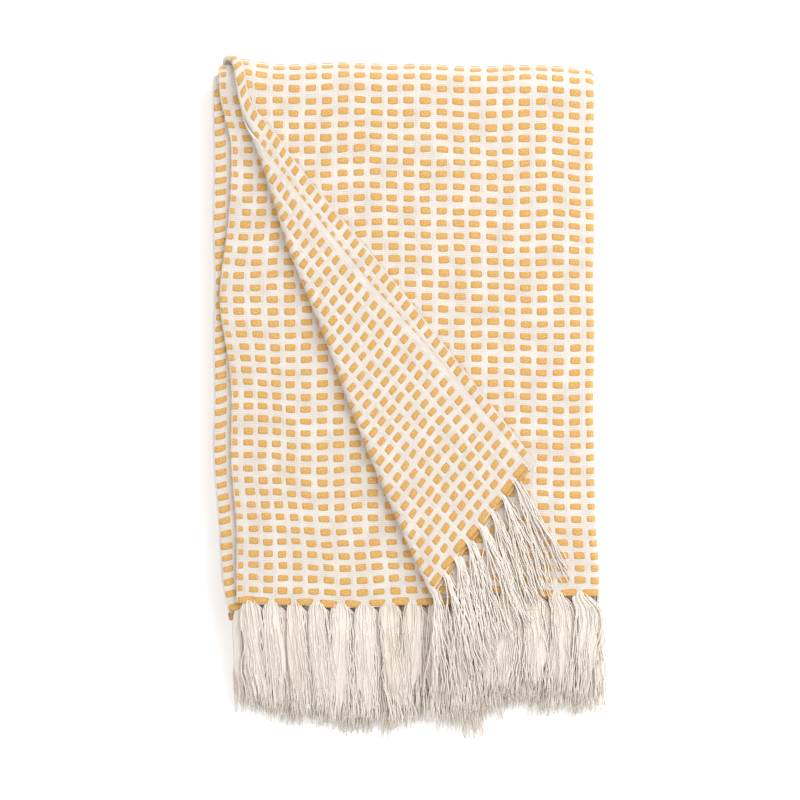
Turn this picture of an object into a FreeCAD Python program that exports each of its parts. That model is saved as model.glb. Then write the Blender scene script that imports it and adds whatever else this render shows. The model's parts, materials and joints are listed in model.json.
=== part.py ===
import FreeCAD, Part
import math
import os

from FreeCAD import Vector

# Folded throw, lying flat. The cloth is folded in half and half again across its width, then in
# half and half again along its length, which gives sixteen layers. The two uppermost layers have
# their free corner turned back over a slanting crease. Layer 1 is the top layer, layer 16 the
# bottom one. Both fringed hems end up in the upper eight layers.
# Millimetres. +Z up, +Y towards the top fold, fringe towards -Y, origin under the middle.

# The cloth
CLOTH_WIDTH = 1200.0
LAYERS = 16
LAYER_THICKNESS = 2.3
LAYER_PITCH = 2.8
FRINGE_LENGTH = 88.0
TASSEL_PITCH = 20.0
TASSEL_WIDTH = 11.0
HEM_ROW_LENGTH = 9.0

# The folded stack
FOLDED_LENGTH = 448.0  # top fold's crown to the lowest hem
INNER_SET_SHIFT = 7.0  # the inner four-layer sets lie this far to the left of the outer ones
HEM_INSETS = {1: 22.0, 2: 22.0, 3: 13.0, 4: 13.0, 5: 8.0, 6: 8.0, 7: 0.0, 8: 0.0}
BOTTOM_FOLD_INSET = 26.0  # the bottom fold's crown lies this far above the lowest hem
MOVING_GAP = 0.3  # clearance between pieces that move apart

# The fringe falls from a line just beyond the lowest hem to the floor
DROP_START = 6.0
TIP_PITCH = 1.9
TIP_THICKNESS = 1.5
TIP_LIFT = 0.2

# The corner that is turned back, as it lies on the stack
CREASE_FOOT_X = 21.6  # where the crease meets the top layer's hem
CREASE_HEAD_X = -138.0  # where it meets the top fold
TURNED_EDGE_HEAD_X = -127.0  # start of the lower turned layer's selvedge
TURNED_TIP = (107.5, -50.6)  # the turned corner itself
UPPER_LAYER_INSET = 15.0  # the upper turned layer stops this far short of it, along the hem
TURNED_TASSELS = 7
TURNED_TASSEL_LEAN = 17.5  # degrees from -Y, towards +X

# Worked out from the above
INNER_RADIUS = (LAYER_PITCH - LAYER_THICKNESS) / 2.0
HALF_LAYER = LAYER_THICKNESS / 2.0
TOP_RADIUS = (LAYERS - 1) * LAYER_PITCH / 2.0 + HALF_LAYER
STACK_MIDDLE = TOP_RADIUS
QUARTER_WIDTH = CLOTH_WIDTH / 4.0 - math.pi * (INNER_RADIUS + HALF_LAYER)
SMALL_FOLD = LAYER_PITCH / 2.0 + HALF_LAYER
LARGE_FOLD = LAYER_PITCH * 1.5 + HALF_LAYER
OVERALL_WIDTH = QUARTER_WIDTH + SMALL_FOLD + LARGE_FOLD + INNER_SET_SHIFT
OVERALL_LENGTH = FOLDED_LENGTH + FRINGE_LENGTH
RIGHT_X = OVERALL_WIDTH / 2.0 - LARGE_FOLD
LEFT_X = RIGHT_X - QUARTER_WIDTH
TOP_Y = OVERALL_LENGTH / 2.0 - TOP_RADIUS
LOWEST_HEM_Y = FRINGE_LENGTH - OVERALL_LENGTH / 2.0
BOTTOM_Y = LOWEST_HEM_Y + BOTTOM_FOLD_INSET + LAYER_PITCH * 3.5 + HALF_LAYER
DROP_Y = LOWEST_HEM_Y - DROP_START
LOWEST_TIP_Y = LOWEST_HEM_Y - FRINGE_LENGTH
TOP_SURFACE = (LAYERS - 1) * LAYER_PITCH + LAYER_THICKNESS
CREASE_Z = TOP_SURFACE + INNER_RADIUS
UP = Vector(0, 0, 1)

# The four sets of four layers: name, upper layer, whether the left fold joins the two lower
# layers of the set, and whether the set belongs to the half that lifts.
SETS = (
    ("front_outer", 1, True, True),
    ("front_inner", 5, False, True),
    ("back_inner", 9, True, False),
    ("back_outer", 13, False, False),
)


def layer_bottom(layer):
    """Height of a layer's underside."""
    return (LAYERS - layer) * LAYER_PITCH


def set_shift(layer):
    """How far a layer's set lies from the outer sets, along X."""
    return -INNER_SET_SHIFT if 5 <= layer <= 12 else 0.0


def hem_y(layer):
    """Where a front layer's hem lies."""
    return LOWEST_HEM_Y + HEM_INSETS[layer]


def slab(outline, bottom, thickness=LAYER_THICKNESS):
    """A flat piece of cloth: an outline of (x, y) points raised from its underside."""
    points = [Vector(x, y, bottom) for x, y in outline]
    face = Part.Face(Part.makePolygon(points + points[:1]))
    return face.extrude(UP * thickness)


def half_ring(start, along, outward, mean_radius):
    """The cloth as it turns back on itself round an axis from start along a vector."""
    inner, outer = mean_radius - HALF_LAYER, mean_radius + HALF_LAYER
    arcs = [
        Part.Arc(start + UP * r, start + outward * r, start - UP * r).toShape()
        for r in (outer, inner)
    ]
    ends = [Part.makeLine(start + UP * (s * outer), start + UP * (s * inner)) for s in (1, -1)]
    wire = Part.Wire([arcs[0], ends[1], arcs[1], ends[0]])
    return Part.Face(wire).extrude(along)


def export(name, *solids):
    """Writes one sub-part, as one solid or as a group of separate solids."""
    shape = solids[0] if len(solids) == 1 else Part.makeCompound(list(solids))
    shape.exportStep(os.path.join("parts", name + ".step"))


def crease_direction():
    """Unit vector down the crease, from the top fold to the hem."""
    run = Vector(CREASE_FOOT_X - CREASE_HEAD_X, hem_y(1) - TOP_Y, 0)
    return run.normalize()


def crease_side(outline, offset):
    """Moves the first and last points of an outline off the crease, by offset along X."""
    moved = list(outline)
    for i in (0, -1):
        moved[i] = (moved[i][0] + offset, moved[i][1])
    return moved


def front_layer(layer):
    """A layer of the half that lifts. The upper two stop at the crease."""
    foot = hem_y(layer) + HEM_ROW_LENGTH
    head = TOP_Y - MOVING_GAP
    left, right = LEFT_X + set_shift(layer), RIGHT_X + set_shift(layer)
    if layer > 2:
        return slab([(left, head), (right, head), (right, foot), (left, foot)], layer_bottom(layer))
    slope = (CREASE_FOOT_X - CREASE_HEAD_X) / (hem_y(1) - TOP_Y)
    crease_foot = (CREASE_FOOT_X + slope * HEM_ROW_LENGTH, foot)
    outline = [(CREASE_HEAD_X, head), (right, head), (right, foot), crease_foot]
    return slab(crease_side(outline, MOVING_GAP), layer_bottom(layer))


def back_layer(layer):
    """A layer of the half that stays on the floor."""
    left, right = LEFT_X + set_shift(layer), RIGHT_X + set_shift(layer)
    outline = [(left, TOP_Y), (right, TOP_Y), (right, BOTTOM_Y), (left, BOTTOM_Y)]
    return slab(outline, layer_bottom(layer))


def joined_layers(upper, lower):
    """Height of the axis of the fold between two layers, and its mean radius."""
    middle = (layer_bottom(upper) + layer_bottom(lower)) / 2.0 + HALF_LAYER
    return middle, (lower - upper) * LAYER_PITCH / 2.0


def side_folds(first, left_joins_lower, lifts):
    """The three lengthwise folds of a set: two nested on the right and one on the left."""
    shift = set_shift(first)
    start_y = hem_y(first) if lifts else BOTTOM_Y
    end_y = TOP_Y - MOVING_GAP if lifts else TOP_Y
    along = Vector(0, end_y - start_y, 0)
    left_pair = (first + 2, first + 3) if left_joins_lower else (first, first + 1)
    pairs = (
        (RIGHT_X, 1, (first, first + 3)),
        (RIGHT_X, 1, (first + 1, first + 2)),
        (LEFT_X, -1, left_pair),
    )
    folds = []
    for x, side, pair in pairs:
        height, radius = joined_layers(*pair)
        folds.append(half_ring(Vector(x + shift, start_y, height), along, Vector(side, 0, 0), radius))
    return folds


def top_fold(layer):
    """The cloth of one front layer as it goes over the top fold to the back layer it continues in."""
    height, radius = joined_layers(layer, LAYERS + 1 - layer)
    start = Vector(LEFT_X + set_shift(layer), TOP_Y, height)
    return half_ring(start, Vector(QUARTER_WIDTH, 0, 0), Vector(0, 1, 0), radius)


def bottom_fold(layer):
    """The cloth of one back inner layer as it turns under to the back outer layer."""
    height, radius = joined_layers(layer, 25 - layer)
    start = Vector(LEFT_X, BOTTOM_Y, height)
    return half_ring(start, Vector(QUARTER_WIDTH - INNER_SET_SHIFT, 0, 0), Vector(0, -1, 0), radius)


def hem_row(layer):
    """The last, doubled weft row of a front layer, between the cloth and its fringe."""
    hem = hem_y(layer)
    left, right = LEFT_X + set_shift(layer), RIGHT_X + set_shift(layer)
    if layer <= 2:
        left = CREASE_FOOT_X + MOVING_GAP
    outline = [
        (left, hem + HEM_ROW_LENGTH),
        (right, hem + HEM_ROW_LENGTH),
        (right, hem),
        (left, hem),
    ]
    return slab(outline, layer_bottom(layer))


def fringe_section(layer, y):
    """Underside and thickness of a fringe row at a place along its fall."""
    fall = (DROP_Y - y) / (DROP_Y - LOWEST_TIP_Y)
    floor = layer_bottom(8) * (1 - fall) + TIP_LIFT * fall
    pitch = LAYER_PITCH * (1 - fall) + TIP_PITCH * fall
    thickness = LAYER_THICKNESS * (1 - fall) + TIP_THICKNESS * fall
    return floor + (8 - layer) * pitch, thickness


def fringe_row(layer):
    """The tassels of one front layer: level past the lowest hem, then down towards the floor."""
    start, tip = hem_y(layer) - MOVING_GAP, hem_y(layer) - FRINGE_LENGTH
    bottom, (tip_bottom, tip_thickness) = layer_bottom(layer), fringe_section(layer, tip)
    profile = [
        (start, bottom),
        (DROP_Y, bottom),
        (tip, tip_bottom),
        (tip, tip_bottom + tip_thickness),
        (DROP_Y, bottom + LAYER_THICKNESS),
        (start, bottom + LAYER_THICKNESS),
    ]
    first = LEFT_X + set_shift(layer) + (QUARTER_WIDTH % TASSEL_PITCH + TASSEL_PITCH) / 2.0
    tassels = []
    for i in range(int(QUARTER_WIDTH // TASSEL_PITCH)):
        x = first + i * TASSEL_PITCH - TASSEL_WIDTH / 2.0
        if layer <= 2 and x < CREASE_FOOT_X:
            continue
        points = [Vector(x, y, z) for y, z in profile]
        face = Part.Face(Part.makePolygon(points + points[:1]))
        tassels.append(face.extrude(Vector(TASSEL_WIDTH, 0, 0)))
    return tassels


def turned_hem(order):
    """The crease end and the free end of a turned layer's hem, as (x, y) vectors.
    Order 1 is the lower of the two turned layers, 2 the upper."""
    foot = Vector(CREASE_FOOT_X, hem_y(1), 0)
    tip = Vector(TURNED_TIP[0], TURNED_TIP[1], 0)
    inset = (foot - tip).normalize() * (UPPER_LAYER_INSET * (order - 1))
    return foot, tip + inset


def turned_bottom(order):
    """Height of a turned layer's underside."""
    return CREASE_Z + INNER_RADIUS + (order - 1) * LAYER_PITCH


def turned_layer(order):
    """One of the two turned layers, face down on the stack, without its hem row."""
    foot, tip = turned_hem(order)
    edge_head = TURNED_EDGE_HEAD_X if order == 1 else (TURNED_EDGE_HEAD_X + CREASE_HEAD_X) / 2.0
    back = crease_direction() * HEM_ROW_LENGTH
    outline = [
        (CREASE_HEAD_X, TOP_Y),
        (edge_head, TOP_Y),
        (tip.x - back.x, tip.y - back.y),
        (foot.x - back.x, foot.y - back.y),
    ]
    return slab(crease_side(outline, MOVING_GAP), turned_bottom(order))


def turned_hem_row(order):
    """The hem row of a turned layer."""
    foot, tip = turned_hem(order)
    back = crease_direction() * HEM_ROW_LENGTH
    corners = (foot - back, tip - back, tip, foot)
    outline = crease_side([(p.x, p.y) for p in corners], MOVING_GAP)
    return slab(outline, turned_bottom(order))


def turned_fringe_row(order):
    """The tassels of a turned layer, lying across the stack and its own fringe."""
    foot, tip = turned_hem(order)
    along = (tip - foot).normalize()
    lean = math.radians(TURNED_TASSEL_LEAN)
    fall = Vector(math.sin(lean), -math.cos(lean), 0)
    pitch = foot.distanceToPoint(tip) / TURNED_TASSELS
    tassels = []
    for i in range(TURNED_TASSELS):
        root = foot + along * ((i + 0.5) * pitch) + fall * MOVING_GAP
        near, far = root - along * (TASSEL_WIDTH / 2.0), root + along * (TASSEL_WIDTH / 2.0)
        corners = (near, far, far + fall * FRINGE_LENGTH, near + fall * FRINGE_LENGTH)
        tassels.append(slab([(p.x, p.y) for p in corners], turned_bottom(order)))
    return tassels


def crease_roll(order):
    """The cloth of one turned layer as it rolls over the crease."""
    head, foot = Vector(CREASE_HEAD_X, TOP_Y, CREASE_Z), Vector(CREASE_FOOT_X, hem_y(1), CREASE_Z)
    down = crease_direction()
    radius = INNER_RADIUS + HALF_LAYER + (order - 1) * LAYER_PITCH
    return half_ring(head, foot - head, Vector(down.y, -down.x, 0), radius)


def main():
    os.makedirs("parts", exist_ok=True)
    for layer in range(1, 9):
        export("cloth_layer_%02d" % layer, front_layer(layer))
        export("hem_row_%d" % layer, hem_row(layer))
        export("fringe_row_%d" % layer, *fringe_row(layer))
        export("top_fold_%d" % layer, top_fold(layer))
    for layer in range(9, 17):
        export("cloth_layer_%02d" % layer, back_layer(layer))
    for layer in range(9, 13):
        export("bottom_fold_%d" % (layer - 8), bottom_fold(layer))
    for name, first, left_joins_lower, lifts in SETS:
        export("side_folds_" + name, *side_folds(first, left_joins_lower, lifts))
    for order in (1, 2):
        export("turned_layer_%d" % order, turned_layer(order))
        export("turned_hem_row_%d" % order, turned_hem_row(order))
        export("turned_fringe_row_%d" % order, *turned_fringe_row(order))
        export("crease_roll_%d" % order, crease_roll(order))


main()
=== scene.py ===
"""A folded cotton throw with a block weave and a fringed hem, built round its frame."""

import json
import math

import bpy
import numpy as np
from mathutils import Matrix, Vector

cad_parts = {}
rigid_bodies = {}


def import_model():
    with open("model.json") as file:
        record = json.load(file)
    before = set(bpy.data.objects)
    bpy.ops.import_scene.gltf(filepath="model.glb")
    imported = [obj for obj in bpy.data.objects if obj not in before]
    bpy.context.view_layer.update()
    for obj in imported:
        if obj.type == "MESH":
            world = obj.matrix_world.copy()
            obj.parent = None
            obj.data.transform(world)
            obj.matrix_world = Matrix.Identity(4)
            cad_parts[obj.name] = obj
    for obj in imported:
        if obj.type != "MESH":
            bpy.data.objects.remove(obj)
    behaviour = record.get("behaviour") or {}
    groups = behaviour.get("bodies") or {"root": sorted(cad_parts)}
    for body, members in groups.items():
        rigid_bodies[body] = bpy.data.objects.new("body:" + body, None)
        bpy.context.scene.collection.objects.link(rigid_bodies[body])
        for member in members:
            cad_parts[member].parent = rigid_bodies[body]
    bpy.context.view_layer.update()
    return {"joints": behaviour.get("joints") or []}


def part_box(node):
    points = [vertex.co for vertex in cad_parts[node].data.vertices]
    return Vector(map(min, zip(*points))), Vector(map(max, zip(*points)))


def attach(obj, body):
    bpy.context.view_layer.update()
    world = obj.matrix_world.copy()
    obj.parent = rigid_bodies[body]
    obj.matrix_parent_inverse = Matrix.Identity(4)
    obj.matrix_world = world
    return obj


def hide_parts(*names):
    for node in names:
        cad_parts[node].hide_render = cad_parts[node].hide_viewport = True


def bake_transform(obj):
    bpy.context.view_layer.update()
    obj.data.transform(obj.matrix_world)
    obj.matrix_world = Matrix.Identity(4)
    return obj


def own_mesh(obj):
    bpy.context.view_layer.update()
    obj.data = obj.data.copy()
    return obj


bl_info = {
    "name": "Folded Fringed Throw",
    "version": (1, 0, 0),
    "blender": (4, 5, 0),
    "location": "View3D > Sidebar > Throw",
    "description": "Models a woven cotton throw, folded flat with one corner turned back",
    "category": "Add Mesh",
}

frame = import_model()

MM = 0.001


# ---------------------------------------------------------------- the folded stack's frame

def node_box(name):
    """Lowest and highest corner of a frame node, as numpy arrays."""
    lo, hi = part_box(name)
    return np.array(lo), np.array(hi)


LAYER_LOW, LAYER_HIGH = zip(*(node_box("cloth_layer_%02d" % n) for n in range(1, 17)))
LEFT_X, RIGHT_X = LAYER_LOW[2][0], LAYER_HIGH[2][0]
INNER_SHIFT = LAYER_LOW[8][0] - LAYER_LOW[15][0]
TOP_Y, BOTTOM_Y = LAYER_HIGH[15][1], LAYER_LOW[15][1]
LAYER_Z = [(lo[2] + hi[2]) / 2 for lo, hi in zip(LAYER_LOW, LAYER_HIGH)]
PITCH = LAYER_Z[0] - LAYER_Z[1]
PANEL = RIGHT_X - LEFT_X
HEM_Y = [node_box("hem_row_%d" % n)[0][1] for n in range(1, 9)]
FOLD_Z = (LAYER_Z[0] + LAYER_Z[15]) / 2
OUTER_R = LAYER_Z[0] - FOLD_Z
UNDER_Z = (LAYER_Z[8] + LAYER_Z[15]) / 2
UNDER_R = LAYER_Z[8] - UNDER_Z
INNER_R = LAYER_Z[7] - FOLD_Z
LONG_R = 1.5 * PITCH  # the outer long fold, round two other layers
SHORT_R = 0.5 * PITCH  # a long fold with nothing inside it
DROP_Y = min(HEM_Y) - 6 * MM  # where the fringe starts to fall to the floor
FRINGE = min(HEM_Y) - node_box("fringe_row_8")[0][1]

JOINT = {j["name"]: j for j in frame["joints"]}
CREASE_FOOT = np.array(JOINT["turn_corner"]["pos_m"][:2])
CREASE_Z = JOINT["turn_corner"]["pos_m"][2]
CREASE_DOWN = np.array(JOINT["turn_corner"]["axis"][:2])
CREASE_LEFT = np.array((CREASE_DOWN[1], -CREASE_DOWN[0]))
CREASE_SLOPE = CREASE_DOWN[0] / CREASE_DOWN[1]
CREASE_BEND = 10 * MM  # how far the crease strays inwards where it goes over the top fold
APEX_Y = CREASE_FOOT[1] + (LEFT_X - CREASE_BEND - CREASE_FOOT[0]) / CREASE_SLOPE
TURNED_TIP = np.array((107.5 * MM, -50.6 * MM))  # where the turned corner points

# Runs of the cloth's length, measured from the top layer's hem: up the front outer layers, over
# the top fold, down the back outer layers, round the bottom fold, up the back inner layers,
# round the inner top fold and down the front inner layers.
RUNS = np.cumsum([0.0, TOP_Y - HEM_Y[0], math.pi * OUTER_R, TOP_Y - BOTTOM_Y, math.pi * UNDER_R,
                  TOP_Y - BOTTOM_Y, math.pi * INNER_R, TOP_Y - HEM_Y[7]])
# Spans of its width, measured from the top layer's selvedge: the top layer, the outer long fold
# on the right, the fourth layer, the fold on the left, the third layer, the inner long fold on
# the right and the second layer.
SPANS = np.cumsum([0.0, PANEL, math.pi * LONG_R, PANEL, math.pi * SHORT_R, PANEL,
                   math.pi * SHORT_R, PANEL])


# ---------------------------------------------------------------- settings

def length_setting(name, description, millimetres, precision=4):
    """A length in the panel."""
    return bpy.props.FloatProperty(
        name=name, description=description, default=millimetres * MM, unit="LENGTH",
        subtype="DISTANCE", precision=precision)


def colour_setting(name, description, hex_colour):
    """A colour in the panel."""
    return bpy.props.StringProperty(name=name, description=description, default=hex_colour)


class ThrowSizes(bpy.types.PropertyGroup):
    """Sizes of the weave and the fringe."""

    thickness: length_setting("Cloth thickness", "Of one layer between its floats", 1.7)
    column: length_setting("Column pitch", "From one column of weft blocks to the next", 13.38)
    row: length_setting("Row pitch", "From one row of weft blocks to the next", 9.8)
    block_width: length_setting("Block width", "Length of weft that floats over the warp", 9.5)
    block_height: length_setting("Block height", "Of the weft yarns side by side", 5.7)
    tassel_pitch: length_setting("Tassel pitch", "From one tassel to the next", 19.7)
    strand: length_setting("Strand thickness", "Of one fringe yarn", 1.1, 5)
    strands: bpy.props.IntProperty(
        name="Strands", description="Yarns in one tassel", default=34, min=4, max=60)


class ThrowColours(bpy.types.PropertyGroup):
    """Colours of the yarns, as sRGB hex values."""

    cream: colour_setting("Cream", "Undyed cotton of the ground weave", "EFE7DE")
    # Painted shade in the hollows between the ground's yarns, and the tone of its darker random
    # patches.
    cream_painted_shade_and_tone: colour_setting("Cream shade", "The same between its yarns", "DBCFC3")
    mustard: colour_setting("Mustard", "Dyed weft of the blocks", "E2B350")
    amber: colour_setting("Amber", "Warmer streaks in the dyed weft", "E9A95C")
    # Painted shade on the dyed weft, where it dives under and between its yarns; also its darker
    # twist lines.
    mustard_painted_shade: colour_setting("Mustard shade", "Dyed weft where it dives under", "BE8836")
    fleck: colour_setting("Fleck", "Pale hairs on the dyed weft", "F3D9A8")
    fringe: colour_setting("Fringe", "Loose cotton yarn of the tassels", "FFF6EC")
    # Painted shade between the yarns deep in a tassel and along the ply lines; also the tone of
    # darker strands.
    fringe_shade: colour_setting("Fringe shade", "The same deep in a tassel", "E4D3C1")
    floor: colour_setting("Floor", "Matt white card", "FFFFFF")


# ---------------------------------------------------------------- how the cloth lies

def smooth(t):
    """Eases from 0 to 1."""
    t = np.clip(t, 0.0, 1.0)
    return t * t * (3 - 2 * t)


def settle(p, outer=1.0):
    """Turns the exact fold into one laid by hand: edges a little out of true, wavering rows,
    gently uneven layers and a stack that thins towards its edges. It never moves one layer
    through another, and it leaves the height between the two halves where it is. outer is 1 for
    the outer set of four layers, whose left edge wanders, and 0 for the inner set. Places and
    widths are in metres, and the amounts before MM are in millimetres."""
    x, y, z = p[..., 0], p[..., 1], p[..., 2]
    # Shares, 0 to 1: up the stack, near its fringed end, across it and near its edges.
    up = smooth((y - BOTTOM_Y) / (TOP_Y - BOTTOM_Y))
    low = smooth((-0.03 - y) / 0.14)
    part = np.clip((x - LEFT_X) / PANEL, -0.05, 1.05)
    left_edge = smooth(1 - (x - LEFT_X) / 0.07)
    right_edge = smooth(1 - (RIGHT_X - x) / 0.032)
    first = smooth(1 - (x - LEFT_X) / 0.045)
    knob = first * smooth((y - 0.226) / 0.03)  # the bunched corner over the crease's top
    dip = np.exp(-(((y - 0.083) / 0.045) ** 2))  # the hollow half-way up the left edge
    # Sideways: the skew of the whole stack, then its left edge, then waves.
    wander = 7.5 - 9.5 * dip - 7.0 * smooth((y - 0.2) / 0.04) - 3.0 * smooth((-0.1 - y) / 0.07)
    x_out = x + MM * (low * (7.5 - 3.0 * part) - 4.1 * part + outer * left_edge * wander)
    tuck = smooth((-0.145 - y) / 0.03) * smooth(1 - (x - LEFT_X + 0.007) / 0.03)
    x_out += 3.5 * MM * tuck * (1 - outer)
    x_out -= 3.0 * MM * knob * outer
    x_out += 0.9 * MM * np.sin(y * 21.0 + 0.6) * np.cos(x * 9.0)
    x_out += 0.4 * MM * np.sin(y * 67.0 + x * 31.0)
    # Lengthwise: the slope of the top fold, the bunched corner, then waves in the rows.
    y_out = y + MM * (up * (1.5 - 2.0 * part - 3.0 * right_edge) - 3.0 * first * dip)
    y_out += MM * knob * (2.5 + 2.5 * outer) - 1.2 * MM * (1 - outer) * (1 - knob) * smooth(
        (LEFT_X + 0.004 - x) / 0.01)
    y_out += 1.4 * MM * np.sin(x * 33.0 + 1.0 + 6.0 * y) * (0.35 + 0.65 * smooth(1.4 - up))
    y_out += 0.5 * MM * np.sin(x * 88.0 + y * 23.0)
    # In height: thinner towards the sides, and long low swells in the half that shows.
    side = np.minimum(x - LEFT_X, RIGHT_X - x)
    thin = 1 - 0.075 * smooth(1 - side / (24 * MM)) * smooth((TOP_Y + 0.02 - y) / 0.04)
    swell = 0.011 * np.sin(x * 38.0 + 1.3 * np.sin(y * 17.0)) * np.cos(y * 31.0 + 0.7)
    swell += 0.005 * np.sin(x * 95.0 + y * 57.0)
    rise = z - FOLD_Z
    z_out = FOLD_Z + rise * np.where(rise > 0, thin + swell + 0.10 * knob, 0.985 * thin)
    return np.stack((x_out, y_out, z_out), axis=-1)


def across(c):
    """Where the cloth lies across the stack: x, and the depth into its set of four layers."""
    x, depth = np.empty_like(c), np.empty_like(c)
    levels = (0.0, 0.0, 3 * PITCH, 3 * PITCH, 2 * PITCH, 2 * PITCH, PITCH, PITCH)
    k = np.clip(np.searchsorted(SPANS, c, side="right") - 1, 0, 6)
    t = c - SPANS[k]
    for span in range(7):
        m = k == span
        if span % 2 == 0:
            x[m] = LEFT_X + t[m] if span in (0, 4) else RIGHT_X - t[m]
            depth[m] = levels[span]
            continue
        radius = LONG_R if span == 1 else SHORT_R
        turn = t[m] / radius
        edge, way = (LEFT_X, -1) if span == 3 else (RIGHT_X, 1)
        x[m] = edge + way * radius * np.sin(turn)
        sign = 1 if levels[span + 1] > levels[span] else -1
        depth[m] = levels[span] + sign * radius * (1 - np.cos(turn))
    return x, depth


def along(s, depth):
    """Where the cloth lies along the stack: y, z, and 0 in the outer set to 1 in the inner."""
    y, z, inner = np.empty_like(s), np.empty_like(s), np.zeros_like(s)
    k = np.clip(np.searchsorted(RUNS, s, side="right") - 1, 0, 6)
    t = s - RUNS[k]
    folds = ((1, FOLD_Z, OUTER_R), (3, UNDER_Z, UNDER_R), (5, FOLD_Z, INNER_R))
    for run, hub, radius in folds:
        m = k == run
        turn = t[m] / radius
        reach = radius + depth[m] if run == 5 else radius - depth[m]
        y[m] = TOP_Y + reach * np.sin(turn) if run != 3 else BOTTOM_Y - reach * np.sin(turn)
        z[m] = hub + reach * np.cos(turn) * (1 if run == 1 else -1)
        inner[m] = smooth(turn / math.pi) if run == 3 else float(run == 5)
    flats = ((0, LAYER_Z[0], -1), (2, LAYER_Z[15], 1), (4, LAYER_Z[8], -1), (6, LAYER_Z[7], 1))
    for run, z0, way in flats:
        m = k == run
        start = {0: HEM_Y[0], 4: BOTTOM_Y}.get(run, TOP_Y)
        y[m] = start + t[m] * (1 if run in (0, 4) else -1)
        z[m] = z0 + way * depth[m]
        inner[m] = float(run > 3)
    return y, z, inner


def lay(c, s):
    """A point of the folded cloth from its place across the width and along the length."""
    c, s = np.broadcast_arrays(np.asarray(c, float), np.asarray(s, float))
    x, depth = across(c)
    y, z, inner = along(s, depth)
    return settle(np.stack((x + inner * INNER_SHIFT, y, z), axis=-1), 1 - inner)


def hem_run(c, last=False):
    """How far along the cloth its first or last hem is, at a place across its width."""
    depth = across(np.asarray(c, float))[1] / PITCH
    if last:
        return RUNS[7] - np.interp(depth, (0, 1, 2, 3), [HEM_Y[n] - HEM_Y[7] for n in (7, 6, 5, 4)])
    return np.interp(depth, (0, 1, 2, 3), [HEM_Y[n] - HEM_Y[0] for n in range(4)])


def crease_bend(y):
    """How far the crease strays from a straight line, near the top fold."""
    return CREASE_BEND * smooth((y - 0.215) / 0.05)


def crease_x(y):
    """Where the crease crosses the top layer, from its length run y; the selvedge past it."""
    straight = CREASE_FOOT[0] + (y - CREASE_FOOT[1]) * CREASE_SLOPE
    return np.maximum(straight + crease_bend(y), LEFT_X)


def over_top(x, y, z):
    """Bends what lies on the stack over its top fold."""
    turn = np.clip(y - TOP_Y, 0, None) / OUTER_R
    radial = z - FOLD_Z
    past = turn > 0
    y_out = np.where(past, TOP_Y + radial * np.sin(turn), y)
    z_out = np.where(past, FOLD_Z + radial * np.cos(turn), z)
    return np.stack((x, y_out, z_out), axis=-1)


def turned_radius(order):
    """Radius of the roll of the first or second turned layer."""
    return SHORT_R + (order - 1) * PITCH


def corner_lean():
    """How the turned corner is drawn askew, for each metre from the crease, so that its tip
    lies where it was laid."""
    corner = np.array((LEFT_X, HEM_Y[0])) - CREASE_FOOT
    reach = corner @ CREASE_LEFT - math.pi * turned_radius(1)
    mirrored = CREASE_FOOT + CREASE_DOWN * (corner @ CREASE_DOWN) - CREASE_LEFT * reach
    return (TURNED_TIP - mirrored) / reach


def turn_back(order, x, y):
    """A point of a turned layer from its place in the flat, unturned corner."""
    radius = turned_radius(order)
    bend = crease_bend(y)
    rel = np.stack((x - bend, y), axis=-1) - CREASE_FOOT
    out, down = rel @ CREASE_LEFT, rel @ CREASE_DOWN
    turn = np.clip(out / radius, 0, math.pi)
    reach = np.clip(out - math.pi * radius, 0, None)
    side = np.minimum(out, 0) + radius * np.sin(turn) - reach
    puff = 1.0 + 0.10 * np.sin(down * 41.0) * smooth(out / radius)
    z = CREASE_Z - radius * np.cos(turn) * puff
    plan = CREASE_FOOT + down[..., None] * CREASE_DOWN + side[..., None] * CREASE_LEFT
    plan = plan + reach[..., None] * corner_lean()
    return settle(over_top(plan[..., 0] + bend, plan[..., 1], z))


def set_in(s):
    """How far in the second layer's selvedge was laid from the first's, along the length."""
    inset = 10.0 * smooth(s / 0.2) + 3.5 * smooth((s - 0.3) / 0.08)
    return inset * smooth((RUNS[2] - s) / 0.04) * MM


def corner_surface(order):
    """The turned layer as a map from a place across the width and along the length."""
    def surface(c, s):
        x = LEFT_X + 2.2 * MM + c if order == 1 else RIGHT_X - (c - SPANS[6]) + set_in(s)
        return turn_back(order, x, HEM_Y[0] + s)
    return surface


# ---------------------------------------------------------------- mesh helpers

def new_object(name, verts, faces, uv=None, materials=(), values=None, faces_of=None, angle=None):
    """A mesh object from arrays, with a UV and named values for each vertex and a material for
    each face, smooth all over or up to an angle."""
    mesh = bpy.data.meshes.new(name)
    mesh.from_pydata(verts.tolist(), [], faces if isinstance(faces, list) else faces.tolist())
    loops = np.empty(len(mesh.loops), dtype=np.int64)
    mesh.loops.foreach_get("vertex_index", loops)
    if uv is not None:
        layer = mesh.uv_layers.new(name="UVMap")
        layer.data.foreach_set("uv", uv[loops].astype(np.float32).ravel())
    for key, value in (values or {}).items():
        attribute = mesh.attributes.new(key, "FLOAT", "POINT")
        attribute.data.foreach_set("value", value.astype(np.float32))
    for material in materials:
        mesh.materials.append(material)
    if faces_of is not None:
        mesh.polygons.foreach_set("material_index", faces_of.astype(np.int32))
    mesh.shade_smooth()
    obj = bpy.data.objects.new(name, mesh)
    bpy.context.scene.collection.objects.link(obj)
    if angle is not None:
        bpy.ops.object.select_all(action="DESELECT")
        obj.select_set(True)
        bpy.context.view_layer.objects.active = obj
        bpy.ops.object.shade_smooth_by_angle(angle=math.radians(angle))
        obj.select_set(False)
    return obj


def unit(v):
    """Vectors scaled to length 1."""
    return v / np.maximum(np.linalg.norm(v, axis=-1, keepdims=True), 1e-12)


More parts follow.
